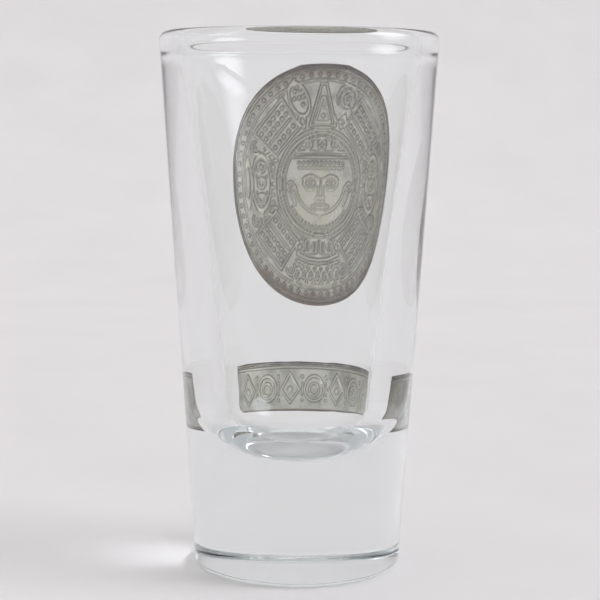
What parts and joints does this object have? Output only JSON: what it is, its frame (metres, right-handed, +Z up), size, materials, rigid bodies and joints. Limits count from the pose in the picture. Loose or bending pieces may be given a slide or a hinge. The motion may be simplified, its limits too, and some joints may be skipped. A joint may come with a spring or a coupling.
{
  "type": "shot glass",
  "caption": "Tall tapered clear shot glass with a heavy solid base, a rolled rim and stamped metal foil badges glued to the wall.",
  "frame": {"origin": "centre of the flat underside, where the glass stands", "axes": "+Z up along the glass's own axis, +Y towards the wall that carries the medallion and the nameplate, +X to the right when looking along +Y"},
  "size_m": [0.046, 0.0461, 0.089],
  "materials": {
    "clear_glass": "pressed soda-lime glass, fire polished, faint grey-green in the thick base",
    "stamped_foil": "thin pewter-coloured metal foil, stamped in low relief, dark patina in the hollows and a brown edge",
    "clear_glue": "clear cured glue film, slightly hazy"
  },
  "bodies": {
    "root": {"glass_body": "clear_glass", "medallion": "stamped_foil", "nameplate": "stamped_foil", "medallion_glue": "clear_glue", "nameplate_glue": "clear_glue"}
  },
  "joints": []
}
